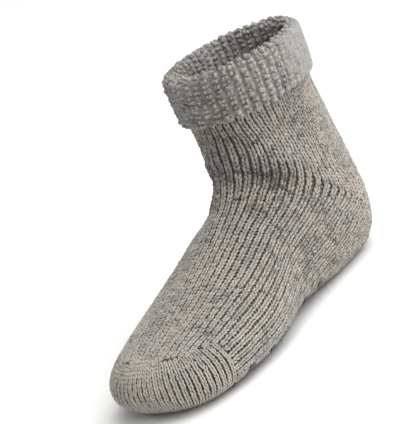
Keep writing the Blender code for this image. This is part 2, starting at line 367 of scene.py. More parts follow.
wool = wool_material(
    "heather_wool", (0.088, 0.083, 0.075), (0.330, 0.307, 0.273), (0.494, 0.466, 0.416), fleck_scale=1500.0
)
# A far darker copy of the wool for the ground: painted shade in the grooves between the ribs
groove_painted_shade_wool = wool_material(
    "groove_painted_shade_wool", (0.04, 0.038, 0.035), (0.11, 0.10, 0.09), (0.20, 0.19, 0.17), fleck_scale=1500.0
)


def ring_faces(rings, count, first=0, turned=False):
    """Faces between closed rings of points that follow each other, numbered on from first."""
    faces = []
    for ring in range(first, first + (rings - 1) * count, count):
        for k in range(count):
            a = ring + k
            b = ring + (k + 1) % count
            faces.append((a, a + count, b + count, b) if turned else (a, b, b + count, a + count))
    return faces


def shell(name, grid, normals, outer_depth, inner_depth, material):
    """A closed sheet between two depths under a grid that is round in its second direction."""
    rings, count = grid.shape[:2]
    outer = (grid - normals * outer_depth).reshape(-1, 3)
    inner = (grid - normals * inner_depth).reshape(-1, 3)
    inner_first = rings * count
    faces = ring_faces(rings, count) + ring_faces(rings, count, inner_first, turned=True)
    for k in range(count):
        a = inner_first - count + k
        b = inner_first - count + (k + 1) % count
        faces.append((a, b, inner_first + b, inner_first + a))
    faces.append(tuple(reversed(range(count))))
    faces.append(tuple(range(inner_first, inner_first + count)))
    return make_mesh(name, np.concatenate([outer, inner]), faces, material)


lining_sheet = 0.0008
thinnest = 0.0003
rib_floor = 0.0008
groove_floor = 0.0013
pocket_place = 5.4
pocket_height = 0.037
ground_skin = skin[6::4, ::2]
ground_places = places[6::4, None]
groove = relief(line_turns[None, ::2], ground_places)
in_pocket = np.clip(pocket_place - ground_places, 0, 1)
in_pocket = in_pocket * np.clip((pocket_height - ground_skin[:, :, 2]) / 0.006, 0, 1)
groove += (1 - groove) * in_pocket
ground_inner = knit_wall - lining_sheet
ground_depth = np.minimum(rib_floor + groove_floor * groove, ground_inner - thinnest)[:, :, None]
ground = shell("knit_ground", ground_skin, out[6::4, ::2], ground_depth, ground_inner, groove_painted_shade_wool)
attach(ground, "root")
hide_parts("knit_leg_and_foot")


# Inside of the tube: the same knit seen from within, paler than the grooves, with its ribs showing.
# It is a thin sheet on the ground's inner face, open at the top where the foot goes in.
inner_rib = np.where(np.arange(line_count // 2) % 2 == 0, -0.0004, 0.0005)
inside = shell(
    "knit_inside", skin[8::8, ::2], out[8::8, ::2], ground_inner, knit_wall - inner_rib[None, :, None], wool
)
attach(inside, "root")
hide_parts("knit_leg_and_foot")


# Rib stitches of the tube: each rib is a column of V-shaped stitches, two legs of thick yarn each.
# They run down the leg, turn at the heel's mitre and go on along the foot to the toe pocket.
# Each stitch lies a course further along its own rib, so short rows at the heel come by themselves.
course = 0.00285
pressed = 0.0012
rib_pitch = 0.0050
top_place = 21.45
stitch_bed = 0.00045


def yarn_leg(points, faces, path, radii, sides):
    """A tapering length of yarn along a path, with closed pointed ends."""
    first = len(points)
    path = [Vector(spot) for spot in path]
    points.append(tuple(path[0]))
    for k in range(1, len(path) - 1):
        heading = (path[k + 1] - path[k - 1]).normalized()
        side = heading.cross(Vector((0, 0, 1))).normalized()
        upward = side.cross(heading)
        for turn in range(sides):
            angle = 2 * math.pi * turn / sides
            spot = path[k] + radii[k] * (side * math.cos(angle) + upward * math.sin(angle))
            points.append(tuple(spot))
    points.append(tuple(path[-1]))
    last = len(points) - 1
    faces += ring_faces(len(path) - 2, sides, first + 1, turned=True)
    for turn in range(sides):
        following = (turn + 1) % sides
        faces.append((first, first + 1 + turn, first + 1 + following))
        faces.append((last - sides + turn, last, last - sides + following))


def rib_stitch():
    """One V: two legs that start close together at the toe end and spread towards the collar."""
    close = 0.00036
    splay = 0.00105
    bow = 0.00012
    sunk = 0.00075
    hump = 0.00072
    thin = 0.00045
    points = []
    faces = []
    for hand in (-1, 1):
        path = []
        radii = []
        for share in (0.0, 0.2, 0.5, 0.8, 1.0):
            arch = math.sin(math.pi * share)
            across = hand * (close + splay * share + bow * arch)
            path.append((across, course * 0.80 * (1 - 2 * share), hump * arch - sunk))
            radii.append(thin + thin * arch)
        yarn_leg(points, faces, path, radii, 5)
    return points, faces


def purl_stitch():
    """One purl bump: a short length of yarn lying across the groove."""
    width = 0.0028
    hump = 0.0005
    thin = 0.0004
    points = []
    faces = []
    path = []
    radii = []
    for share in (0.0, 0.3, 0.7, 1.0):
        arch = math.sin(math.pi * share)
        path.append(((share - 0.5) * width, 0, hump * arch - thin))
        radii.append(thin + hump * arch)
    yarn_leg(points, faces, path, radii, 4)
    return points, faces


def scatter_tree(name):
    """Geometry nodes: one copy of a small form on each point, turned and sized by the point's values."""
    tree = bpy.data.node_groups.new(name, "GeometryNodeTree")
    sockets = {}
    kinds = {"Geometry": "Geometry", "Form": "Object", "Finish": "Material", "Spread": "Float", "Seed": "Int"}
    for label, kind in kinds.items():
        socket = tree.interface.new_socket(name=label, in_out="INPUT", socket_type="NodeSocket" + kind)
        sockets[label] = socket.identifier
    tree.interface.new_socket(name="Geometry", in_out="OUTPUT", socket_type="NodeSocketGeometry")
    entry = tree.nodes.new("NodeGroupInput")
    leave = tree.nodes.new("NodeGroupOutput")
    form = tree.nodes.new("GeometryNodeObjectInfo")
    turn = add_node(tree, "GeometryNodeInputNamedAttribute", data_type="FLOAT_VECTOR", Name="turn")
    size = add_node(tree, "GeometryNodeInputNamedAttribute", data_type="FLOAT_VECTOR", Name="size")
    rotation = tree.nodes.new("FunctionNodeEulerToRotation")
    low = add_node(tree, "ShaderNodeMath", operation="SUBTRACT")
    low.inputs[0].default_value = 1.0
    high = add_node(tree, "ShaderNodeMath", operation="ADD")
    high.inputs[0].default_value = 1.0
    vary = add_node(tree, "FunctionNodeRandomValue", data_type="FLOAT")
    scaled = add_node(tree, "ShaderNodeVectorMath", operation="SCALE")
    copies = tree.nodes.new("GeometryNodeInstanceOnPoints")
    realize = tree.nodes.new("GeometryNodeRealizeInstances")
    finish = tree.nodes.new("GeometryNodeSetMaterial")
    link = tree.links.new
    link(entry.outputs["Form"], form.inputs["Object"])
    link(entry.outputs["Spread"], low.inputs[1])
    link(entry.outputs["Spread"], high.inputs[1])
    link(low.outputs[0], vary.inputs[2])
    link(high.outputs[0], vary.inputs[3])
    link(entry.outputs["Seed"], vary.inputs["Seed"])
    link(size.outputs["Attribute"], scaled.inputs[0])
    link(vary.outputs[1], scaled.inputs["Scale"])
    link(turn.outputs["Attribute"], rotation.inputs[0])
    link(entry.outputs["Geometry"], copies.inputs["Points"])
    link(form.outputs["Geometry"], copies.inputs["Instance"])
    link(rotation.outputs[0], copies.inputs["Rotation"])
    link(scaled.outputs[0], copies.inputs["Scale"])
    link(copies.outputs["Instances"], realize.inputs["Geometry"])
    link(realize.outputs["Geometry"], finish.inputs["Geometry"])
    link(entry.outputs["Finish"], finish.inputs["Material"])
    link(finish.outputs["Geometry"], leave.inputs["Geometry"])
    return tree, sockets


scatter, scatter_sockets = scatter_tree("lay_stitches")


def lay(name, form, spots, across, along, out, sizes, tone_and_painted_shade, material, spread, seed):
    """Lay copies of a form on spots, with its own axes across, along and out, as one plain mesh."""
    turn_x = np.arctan2(along[:, 2], out[:, 2])
    turn_y = -np.arcsin(np.clip(across[:, 2], -1, 1))
    turn_z = np.arctan2(across[:, 1], across[:, 0])
    turns = np.stack([turn_x, turn_y, turn_z], axis=1)
    cloud = bpy.data.meshes.new(name)
    cloud.from_pydata([tuple(spot) for spot in spots], [], [])
    for label, values in (("turn", turns), ("size", sizes)):
        attribute = cloud.attributes.new(label, "FLOAT_VECTOR", "POINT")
        attribute.data.foreach_set("vector", values.astype(np.float32).ravel())
    attribute = cloud.attributes.new("fleck", "FLOAT", "POINT")
    attribute.data.foreach_set("value", tone_and_painted_shade.astype(np.float32))
    piece = bpy.data.objects.new(name, cloud)
    bpy.context.scene.collection.objects.link(piece)
    modifier = piece.modifiers.new("lay", "NODES")
    modifier.node_group = scatter
    for label, value in (("Form", form), ("Finish", material), ("Spread", spread), ("Seed", seed)):
        modifier[scatter_sockets[label]] = value
    bpy.context.view_layer.update()
    result = piece.evaluated_get(bpy.context.evaluated_depsgraph_get())
    mesh = bpy.data.meshes.new_from_object(result)
    piece.modifiers.clear()
    piece.data = mesh
    mesh.name = name
    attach(piece, "root")
    return piece


def form_object(name, points, faces):
    """A small form to be laid many times; it stays out of the scene itself."""
    mesh = bpy.data.meshes.new(name)
    mesh.from_pydata(points, [], faces)
    mesh.shade_smooth()
    return bpy.data.objects.new(name, mesh)


def section_place(x):
    """Places whose sole end lies at x, in the foot ahead of the heel."""
    fine = np.linspace(0, len(foot_rows) + 3, 800)
    return np.interp(x, sections_at(fine)[:, 2], fine)


def heights(x, y):
    """Bottom and top of the foot's skin over points of the floor, in the upright sections."""
    rows = sections_at(section_place(x))
    _, top, _, sole, half, belly, crown, base = rows.T
    side = np.clip(np.abs(y) / half, 0, 1)
    lower = belly * (1 - np.clip(1 - side**base, 0, 1) ** (1 / base))
    upper = belly + (1 - belly) * np.clip(1 - side**crown, 0, 1) ** (1 / crown)
    bottom = np.maximum(sole + lower * (top - sole), rest_height(x))
    return bottom, sole + upper * (top - sole), half


# The toe pocket's own columns fan round the toe in upright planes, from the sole up over the toes.
toe_centre_x = knit_low.x + 0.038
fan_count = 31
fan_top = 0.021
fan_tip = 0.004
fan_bottom = 0.021
fan_hub = 0.008
fan_fine = np.linspace(-math.pi / 2, math.pi / 2, 361)


def fan_outline(angle):
    """How far the toe's outline lies from the fan's centre, in one direction."""
    reach = np.linspace(0.02, 0.07, 1400)
    x = toe_centre_x - reach * math.cos(angle)
    y = reach * math.sin(angle)
    _, _, half = heights(x, y)
    inside = (np.abs(y) < half) & (x > knit_low.x + 0.0003)
    return reach[inside][-1]


fan_reach = np.array([fan_outline(angle) for angle in fan_fine])
outline_x = toe_centre_x - fan_reach * np.cos(fan_fine)
outline_y = fan_reach * np.sin(fan_fine)
outline_steps = np.hypot(np.diff(outline_x), np.diff(outline_y))
outline_length = np.concatenate([[0], np.cumsum(outline_steps)])
fan_pitch = outline_length[-1] / fan_count


def fan_column(share):
    """One column of the toe pocket, from the sole round the nose to the top: points, distances, angle."""
    angle = np.interp(share * outline_length[-1], outline_length, fan_fine)
    reach = np.interp(angle, fan_fine, fan_reach)
    r = reach - np.linspace(0, 1, 160) ** 2 * (reach - fan_hub)
    x = toe_centre_x - r * math.cos(angle)
    y = r * math.sin(angle)
    bottom, top, _ = heights(x, y)
    lower = np.stack([x, y, bottom], axis=1)[::-1]
    upper = np.stack([x, y, top], axis=1)
    path = np.concatenate([lower, upper])
    length = lengths_along(path)
    nose_length = (length[len(lower) - 1] + length[len(lower)]) / 2
    return path, length - nose_length, angle


def smooth_out(path, angle):
    """Outward directions along a column: upright planes, square to the path."""
    heading = np.gradient(path, axis=0)
    heading /= np.maximum(np.linalg.norm(heading, axis=1, keepdims=True), 1e-9)
    across = np.array([math.sin(angle), math.cos(angle), 0.0])
    outward = np.cross(heading, np.tile(across, (len(path), 1)))
    return heading, outward


toe_edge_under = []
toe_edge_over = []
for angle, reached in zip(fan_fine, outline_length):
    path, length, _ = fan_column(reached / outline_length[-1])
    r = np.hypot(path[:, 0] - toe_centre_x, path[:, 1])
    toe_edge_under.append(r[np.argmin(np.abs(length + fan_bottom))])
    toe_edge_over.append(r[np.argmin(np.abs(length - fan_top - fan_tip * math.cos(angle) ** 2))])


def in_toe_pocket(spots, upper):
    """Whether spots of the skin lie in the toe pocket's fan."""
    ahead = toe_centre_x - spots[:, 0]
    angle = np.arctan2(spots[:, 1], ahead)
    under = np.interp(angle, fan_fine, toe_edge_under)
    over = np.interp(angle, fan_fine, toe_edge_over)
    return (ahead > 0) & (np.hypot(spots[:, 1], ahead) > np.where(upper, over, under))


def read_along(marks, length, path):
    """Points or directions of a path at marks along its length."""
    return np.stack([np.interp(marks, length, path[:, axis]) for axis in range(3)], axis=1)


def wale_stitches(line, offset):
    """Spots along one line of the tube, a course apart, with their directions and values."""
    feel = 0.0008
    walk = np.flatnonzero(places <= top_place)[::-1]
    path = skin[walk, line]
    length = lengths_along(path)
    marks = np.arange(offset * course, length[-1] - 0.001, course)
    spots = read_along(marks, length, path)
    heading = read_along(marks + feel, length, path) - read_along(marks - feel, length, path)
    outward = read_along(marks, length, out[walk, line])
    place = np.interp(marks, length, places[walk])
    pitch = np.interp(marks, length, girths[walk]) / rib_count
    return spots, heading, outward, place, pitch


def square_up(heading, outward):
    """Make heading and outward square to each other, and give the direction across."""
    outward = outward / np.linalg.norm(outward, axis=1, keepdims=True)
    heading = heading - outward * np.sum(heading * outward, axis=1, keepdims=True)
    heading /= np.linalg.norm(heading, axis=1, keepdims=True)
    return np.cross(heading, outward), heading, outward


def gather(first_line, offset):
    """Every stitch of one kind on the tube: spots, headings, outward directions, turns, places, pitches."""
    columns = []
    for line in range(first_line, line_count, lines_per_rib):
        spots, heading, outward, place, pitch = wale_stitches(line, offset)
        turn = np.full(len(spots), line / line_count)
        keep = ~in_toe_pocket(spots, spots[:, 2] > toe_height * nose)
        columns.append([values[keep] for values in (spots, heading, outward, turn, place, pitch)])
    return [np.concatenate(values) for values in zip(*columns)]


chance = np.random.default_rng(7)


def unsettle(spots, heading, outward, amount):
    """Nudge and turn stitches a little, as hand-soft wool never lies even, and press them flat below."""
    across, heading, outward = square_up(heading, outward)
    nudge = chance.normal(0, 1, (len(spots), 3)) * amount
    for k, (direction, most) in enumerate([(across, 0.00016), (heading, 0.00022), (outward, 0.00010)]):
        spots = spots + most * nudge[:, k:k + 1] * direction
    spots[:, 2] = np.maximum(spots[:, 2], pressed)
    lean = chance.normal(0, 1, (len(spots), 2)) * amount
    heading = heading + 0.09 * lean[:, :1] * across
    return spots, *square_up(heading, outward + 0.08 * lean[:, 1:] * across)


def lay_by_zone(label, form, spots, heading, outward, sizes, tone_and_painted_shade, place, material, seed):
    """Lay stitches as one piece for each zone of the tube."""
    spots, across, heading, outward = unsettle(spots, heading, outward, 1.0)
    zones = [("forefoot", -1, 8.6), ("midfoot", 8.6, 12.6), ("heel", 12.6, 17.0), ("leg", 17.0, 99)]
    for zone, low, high in zones:
        pick = (place > low) & (place <= high)
        piece = lay(
            f"{label}_{zone}", form, spots[pick], across[pick], heading[pick], outward[pick],
            sizes[pick], tone_and_painted_shade[pick], material, 0.05, seed,
        )
        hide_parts("knit_leg_and_foot")


rib_form = form_object("rib_stitch", *rib_stitch())
purl_form = form_object("purl_stitch", *purl_stitch())

spots, heading, outward, turn, place, pitch = gather(lines_per_rib // 2, 0.0)
deep = relief(turn, place)
width = pitch / rib_pitch * (1.07 - 0.10 * deep)
sizes = np.stack([width, np.full(len(spots), 1.0), 0.80 + 0.35 * deep], axis=1)
spots = spots + outward * (0.00030 * deep - stitch_bed)[:, None]
# Painted light and shade in the rib tones: ribs lighter where they run deep, beside the painted shade of
# their grooves; painted shade on the deepest front ribs, in the creases and on the side of the instep;
# painted light on the toes
crease_painted_shade = 700
tone_and_painted_shade = chance.normal(0, 0.5, len(spots)) + 0.10 + 0.95 * ease_in(deep, 0.2, 0.6) - 0.50 * deep**4
tone_and_painted_shade += crease_painted_shade * np.minimum(crease(turn, place), 0) - 0.7 * swell(place, 10.5, 4)
tone_and_painted_shade += 1.1 * swell(place, 3.0, 2.2)
lay_by_zone("rib_stitches", rib_form, spots, heading, outward, sizes, tone_and_painted_shade, place, wool, 3)

spots, heading, outward, turn, place, pitch = gather(0, 0.5)
deep = relief(turn, place)
sizes = np.stack([pitch / rib_pitch, np.full(len(spots), 1.0), np.full(len(spots), 0.9)], axis=1)
spots = spots + outward * (-stitch_bed - 0.00135 * deep)[:, None]
# Purl stitches darker the deeper their groove: painted shade in the grooves
tone_and_painted_shade = chance.normal(0, 0.4, len(spots)) - 0.2 - 1.6 * deep
lay_by_zone("purl_stitches", purl_form, spots, heading, outward, sizes, tone_and_painted_shade, place, wool, 5)


# Toe pocket: the wool turns the toe here, so its columns stand upright round the tip of the foot.
# The stitches are smaller and closer, and a shallow arc at the side marks where they begin.
columns = []
for column in range(fan_count * 2 + 1):
    path, length, angle = fan_column(column / (fan_count * 2))
    heading, outward = smooth_out(path, angle)
    top = fan_top + fan_tip * math.cos(angle) ** 2
    marks = np.arange((0.0 if column % 2 else course / 2) - fan_bottom, top, course * 0.93)
    values = [read_along(marks, length, data) for data in (path, heading, outward)]
    columns.append(values + [np.full(len(marks), column % 2), np.full(len(marks), angle), marks])
spots, heading, outward, odd, fan_angle, fan_arc = [np.concatenate(values) for values in zip(*columns)]
spots, across, heading, outward = unsettle(spots, -heading, outward, 0.8)
# The ribs fade out where the fan meets the top of the foot
toe_deep = 0.80 + 0.35 * np.cos(fan_angle) ** 2 - 0.85 * swell(fan_arc, 0.022, 0.008)
toe_deep = np.clip(toe_deep, 0.1, 1.15)
# Rib stitches get painted light that grows with depth, purl stitches painted shade that deepens in the
# grooves
toe_kinds = [
    # piece, form, columns, seed, painted light and shade, painted light and shade by depth, level by depth
    ("toe_rib_stitches", rib_form, 1, 11, 0.9, 0.7, 0.00030),
    ("toe_purl_stitches", purl_form, 0, 13, -0.2, -2.6, -0.0016),
]
for name, form, parity, seed, light_and_shade, light_and_shade_by_depth, deep_level in toe_kinds:
    pick = odd == parity
    deep = toe_deep[pick]
    tone_and_painted_shade = chance.normal(0, 0.5, len(deep)) + (light_and_shade + light_and_shade_by_depth * deep)
    level = deep_level * deep - stitch_bed
    width = np.full(len(deep), fan_pitch / rib_pitch)
    sizes = np.stack([width, np.full(len(deep), 0.93), np.full(len(deep), 0.9)], axis=1)
    piece = lay(
        name, form, spots[pick] + outward[pick] * level[:, None], across[pick], heading[pick], outward[pick],
        sizes, tone_and_painted_shade, wool, 0.05, seed,
    )
    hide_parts("knit_leg_and_foot")


# Folded cuff: the brushed end of the tube, folded down outside the leg, plush and thick.
# Its columns are rows of soft nubs that run from the hem up over the fold and down inside the collar.
cuff_columns = 46
cuff_fine = 10
cuff_wall = 0.0045
cuff_stand = 0.006
hem_draw = 0.001
fit_gap = 0.0003
lining_reach = 0.028
lining_depth = 0.0004
nub_step = 0.0034
rib_rise = 0.0013
plush = wool_material(
    "brushed_wool", (0.105, 0.102, 0.096), (0.296, 0.284, 0.265), (0.44, 0.424, 0.399),
    fleck_scale=1100.0, fuzz_depth=0.0010,
)


def cuff_outline():
    """The closed outline of the brushed wool: inner face, hem, outer face, fold and lining; its marks."""
    lip = leg_top + fit_gap
    half_wall = cuff_wall / 2
    hem_out = cuff_stand - hem_draw - half_wall
    hem_up = cuff_edge + half_wall
    fold_out = (cuff_stand - knit_wall) / 2
    fold_reach = (cuff_stand + knit_wall) / 2
    outline = [(fit_gap + 0.0001, leg_top - 0.004), (fit_gap + 0.0002, cuff_edge + 0.020)]
    hem_start = len(outline)
    for angle in np.linspace(math.pi, 2 * math.pi, 7):
        outline.append((hem_out + half_wall * math.cos(angle), hem_up + half_wall * math.sin(angle)))
    outline += [(cuff_stand - 0.0003, cuff_edge + 0.012), (cuff_stand, cuff_edge + 0.022)]
    fold_start = len(outline)
    for angle in np.linspace(0, math.pi, 9):
        outline.append((fold_out + fold_reach * math.cos(angle), lip + (sock_height - lip) * math.sin(angle)))
    lining_start = len(outline)
    lining_face = -knit_wall - lining_depth
    lining_back = -knit_wall + 0.0006
    outline += [(lining_face, leg_top - 0.003), (lining_face, leg_top - lining_reach)]
    outline += [(lining_back, leg_top - lining_reach - 0.0005), (lining_back, leg_top - 0.001)]
    arc = lengths_along(np.array(outline))
    return np.array(outline), arc, arc[hem_start + 3], arc[fold_start + 5], arc[lining_start + 1]


def collar_ring(outs, ups, turns):
    """Points at distances out from the leg's face and heights, for every turn: outline by turn."""
    base = np.array([collar_section(0.0)] * len(outs))
    base[:, 1] = ups
    base[:, 3] = ups
    base[:, 0] -= outs
    base[:, 2] += outs
    base[:, 4] += outs
    angles, _ = even_angles(base, np.tile(turns, (len(outs), 1)))
    return ring_points(base, angles)


def plush_relief(turns, arc, phases):
    """Height of the plush over its base: columns of nubs, with uneven lumps."""
    column = turns * cuff_columns
    rib = (0.5 + 0.5 * np.cos(2 * math.pi * column)) ** 0.8
    phase = phases[np.round(column).astype(int) % cuff_columns]
    nub = np.abs(np.sin(math.pi * arc[:, None] / nub_step + phase[None, :]))
    return rib_rise * rib[None, :] * (0.55 + 0.45 * nub)


def lumps(points, scale, seed):
    """Slow noise over a grid of points, for wool that was brushed unevenly."""
    offset = Vector((seed, 0, 0))
    values = [noise.noise(Vector(point) * scale + offset) for point in points.reshape(-1, 3)]
    return np.array(values).reshape(points.shape[:-1])


cuff_turns = np.arange(cuff_columns * cuff_fine) / (cuff_columns * cuff_fine)
outline, outline_arc, hem_arc, fold_arc, lining_arc = cuff_outline()
arc = np.linspace(0, outline_arc[-1], 132)
outs = np.interp(arc, outline_arc, outline[:, 0])
ups = np.interp(arc, outline_arc, outline[:, 1])
cuff_grid = collar_ring(outs, ups, cuff_turns)
cuff_along = np.gradient(cuff_grid, axis=0)
cuff_around = np.roll(cuff_grid, -1, axis=1) - np.roll(cuff_grid, 1, axis=1)
cuff_out = np.cross(cuff_around, cuff_along)
cuff_out /= np.linalg.norm(cuff_out, axis=2, keepdims=True)


def clear_share(turn, place):
    """How clear the nubs are: clear on one side and inside, run together into fuzz round the rest."""
    turn = turn % 1
    outside = 0.20 + 0.80 * swell(turn, 0.62, 0.135, 4) + 0.40 * swell(turn, 0.40, 0.12, 4)
    outside = outside + 0.45 * swell(np.minimum(turn, 1 - turn), 0, 0.07)
    return outside + (1 - outside) * ease_in(place, fold_arc - 0.0045, 0.0055)


phases = chance.uniform(0, math.pi, cuff_columns)
clear = clear_share(cuff_turns[None, :], arc[:, None])
shown = ease_in(arc, hem_arc - 0.003, 0.003) * ease_in(-arc, -lining_arc, 0.003)
raised = plush_relief(cuff_turns, arc, phases) * clear
raised += 0.0004 * lumps(cuff_grid, 330.0, 1.0) + 0.0006 * lumps(cuff_grid, 90.0, 5.0)
sunk = 0.0016 - 0.0009 * ease_in(arc, fold_arc, 0.006)
cuff_skin = cuff_grid + cuff_out * ((raised - sunk[:, None] * clear) * shown[:, None])[:, :, None]


def closed_ring(name, grid, material):
    """A mesh from a grid that is round in its second direction and closed in its first."""
    rings, count = grid.shape[:2]
    faces = ring_faces(rings, count)
    rim = (rings - 1) * count
    for k in range(count):
        beside = (k + 1) % count
        faces.append((rim + k, rim + beside, beside, k))
    return make_mesh(name, grid.reshape(-1, 3), faces, material)


cuff = closed_ring("cuff_plush", cuff_skin, plush)
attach(cuff, "root")
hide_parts("turned_cuff")


# Nubs: the brushed wool gathers in soft nubs, strung in columns over the cuff and down inside it.
# They are clear on one side and all over the inside, and run together into smooth fuzz elsewhere.
def nub_form():
    """A soft nub of brushed wool, one unit wide and long, half a unit high."""
    rings = 3
    sides = 7
    points = [(0, 0, 0.5)]
    for ring in range(1, rings + 1):
        fall = math.pi * ring / (rings + 1)
        for side in range(sides):
            angle = 2 * math.pi * (side + 0.5 * ring) / sides
            wobble = 1 + 0.20 * math.sin(2 * angle + 2.3 * ring) * math.sin(5 * angle + ring)
            spread = 0.5 * math.sin(fall) * wobble
            points.append((spread * math.cos(angle), spread * math.sin(angle), 0.5 * math.cos(fall)))
    points.append((0, 0, -0.5))
    last = len(points) - 1
    faces = ring_faces(rings, sides, 1, turned=True)
    for side in range(sides):
        following = (side + 1) % sides
        faces.append((0, 1 + side, 1 + following))
        faces.append((last - sides + side, last, last - sides + following))
    return points, faces


nub = form_object("wool_nub", *nub_form())
nub_feel = 0.0012
strand_share = 0.29
path_arc = np.linspace(hem_arc, lining_arc - 0.001, 160)
path_outs = np.interp(path_arc, outline_arc, outline[:, 0])
path_ups = np.interp(path_arc, outline_arc, outline[:, 1])
column_turns = np.repeat(np.arange(cuff_columns) / cuff_columns, 2)
nub_grid = collar_ring(path_outs, path_ups, column_turns)
aside_turn = 0.001
aside_grid = collar_ring(path_outs, path_ups, column_turns + aside_turn)
nub_columns = []
for column in range(cuff_columns * 2):
    path = nub_grid[:, column]
    length = lengths_along(path)
    if column % 2 == 0:
        start = chance.uniform(0.4, 1.4) * nub_step
    marks = np.arange(start, length[-1], nub_step)
    marks = np.maximum(marks + chance.normal(0, 0.0004, len(marks)), 0.0013)
    spot = read_along(marks, length, path)
    heading = read_along(marks + nub_feel, length, path) - read_along(marks - nub_feel, length, path)
    aside = (read_along(marks, length, aside_grid[:, column]) - spot) / aside_turn / cuff_columns
    turn = np.full(len(marks), column_turns[column])
    pitch = np.linalg.norm(aside, axis=1)
    spot = spot + aside * strand_share * (0.5 - column % 2)
    nub_columns.append([spot, heading, aside, turn, hem_arc + marks, pitch])
spots, heading, across, turn, place, pitch = [np.concatenate(values) for values in zip(*nub_columns)]
outward = np.cross(across, heading)
across, heading, outward = square_up(heading, outward)
clear = clear_share(turn, place)
scale = chance.uniform((0.75, 0.70, 0.80), (1.25, 1.30, 1.15), (len(spots), 3))
sizes = np.stack([0.55 * pitch, np.full(len(pitch), 0.0038), np.full(len(pitch), 0.0044)], axis=1) * scale
sizes[:, 2] *= 0.45 + 0.55 * clear
spots = spots + across * chance.normal(0, 0.0003, len(spots))[:, None]
spots = spots + outward * (0.0014 * clear - 0.0020 + chance.normal(0, 0.0003, len(spots)))[:, None]
tone_and_painted_shade = chance.normal(0.3, 0.8, len(spots)) + 0.6 * swell(turn, 0.68, 0.06) - 0.5 * swell(turn, 0.56, 0.05)
nubs = lay("cuff_nubs", nub, spots, across, heading, outward, sizes, tone_and_painted_shade, plush, 0.08, 23)
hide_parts("turned_cuff")


# Rubber print: dots and bars printed on the sole, thick enough to stand up from the wool.
# Each is a low dome of dark slate rubber that follows the skin under it and grips the floor.
print_height = 0.0007
dot_diameter = 0.0072
dot_pitch = 0.023
bar_corner = 0.0022
bar_space = 0.0032
dot_rows = [
    # along, count
    (0.385, 4), (0.431, 3), (0.477, 4), (0.523, 3), (0.705, 5), (0.751, 4), (0.797, 5), (0.843, 4),
]
bar_rows = [
    # along, count, length, width
    (0.571, 7, 0.0095, 0.0075),
    (0.634, 5, 0.0190, 0.0145),
]
pad_profile = [
    # share of the outline, share of the height
    (0.96, 0.1), (1.0, 0.45), (0.93, 0.85), (0.78, 1.0), (0.4, 1.0),
]
side_fine = np.linspace(0, 0.7 * math.pi, 120)


def rubber_material():
    """Dull slate rubber with a fine grain."""
    material, tree, shader = new_material("grip_rubber", Roughness=0.5, Specular_IOR_Level=0.4)
    link = tree.links.new
    place = add_node(tree, "ShaderNodeTexCoord")
    grain = add_node(tree, "ShaderNodeTexNoise", Scale=600.0, Detail=3.0)
    slate = colour_ramp(tree, ((0.0, (0.036, 0.040, 0.052)), (1.0, (0.085, 0.090, 0.108))))
    bump = add_node(tree, "ShaderNodeBump", Strength=0.35, Distance=0.0003)
    link(place.outputs["Object"], grain.inputs["Vector"])
    link(grain.outputs["Fac"], slate.inputs["Fac"])
    link(grain.outputs["Fac"], bump.inputs["Height"])
    link(slate.outputs["Color"], shader.inputs["Base Color"])
    link(bump.outputs["Normal"], shader.inputs["Normal"])
    return material


def sole_spots(x, across):
    """Skin points at x on the sole line and distances round the section from there."""
    rows = sections_at(section_place(np.asarray(x)))
    rings = ring_points(rows, np.tile(side_fine, (len(rows), 1)))
    spots = np.empty((len(rows), 3))
    for k, (distance, length) in enumerate(zip(across, lengths_along(rings))):
        spots[k] = read_along([abs(distance)], length, rings[k])[0]
        spots[k, 1] *= -1 if distance < 0 else 1
    return spots


def sole_out(x, across):
    """Directions out of the sole at the same points."""
    feel = 0.0008
    forward = sole_spots(x + feel, across) - sole_spots(x - feel, across)
    sideways = sole_spots(x, across + feel) - sole_spots(x, across - feel)
    outward = np.cross(sideways, forward)
    return outward / np.linalg.norm(outward, axis=1, keepdims=True)


def pad_outline(length, width, corner, count):
    """A rounded rectangle, or a circle when the corner is half of both sides."""
    points = []
    for k in range(count):
        angle = 2 * math.pi * (k + 0.5) / count
        a = math.copysign(length / 2 - corner, math.cos(angle)) + corner * math.cos(angle)
        b = math.copysign(width / 2 - corner, math.sin(angle)) + corner * math.sin(angle)
        points.append((a, b))
    return np.array(points)


def add_pad(points, faces, x, across, outline):
    """One pad: its underside near the skin, a steep edge and a flat dome."""
    first = len(points)
    for share, height in pad_profile:
        xs = x + outline[:, 0] * share
        ys = across + outline[:, 1] * share
        points.extend(sole_spots(xs, ys) + sole_out(xs, ys) * (fit_gap + height * print_height))
    faces += ring_faces(len(pad_profile), len(outline), first, turned=True)
    faces.append(tuple(range(first, first + len(outline))))
    faces.append(tuple(reversed(range(len(points) - len(outline), len(points)))))


pad_points = []
pad_faces = []


def add_pads(along, count, pitch, outline):
    """A row of like pads across the sole, at a share of the foot's length from the heel."""
    for k in range(count):
        across = (k - (count - 1) / 2) * pitch
        add_pad(pad_points, pad_faces, heel_back - along * foot_length, across, outline)


dot = pad_outline(dot_diameter, dot_diameter, dot_diameter / 2, 20)
for along, count in dot_rows:
    add_pads(along, count, dot_pitch, dot)
for along, count, length, width in bar_rows:
    add_pads(along, count, width + bar_space, pad_outline(length, width, bar_corner, 28))
pads = make_mesh("printed_grips", pad_points, pad_faces, rubber_material())
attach(pads, "root")
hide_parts(*[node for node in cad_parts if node.startswith("grip_")])


# Loose fibres: fine hairs of wool that stand off the knit and, much denser, off the brushed cuff.
# They soften the outline all round, as brushed wool does.
hair_length = 0.001
hair_root = [(0.00004, 0, 0), (-0.00002, 0.000035, 0), (-0.00002, -0.000035, 0)]
hair_tip = (0.00045, 0.0005, hair_length)
hair = form_object("wool_hair", [*hair_root, hair_tip], [(2, 1, 0), (0, 1, 3), (1, 2, 3), (2, 0, 3)])
fibre = wool_material(
    "wool_fibre", (0.30, 0.29, 0.27), (0.55, 0.53, 0.50), (0.80, 0.78, 0.74), fleck_scale=500.0
)


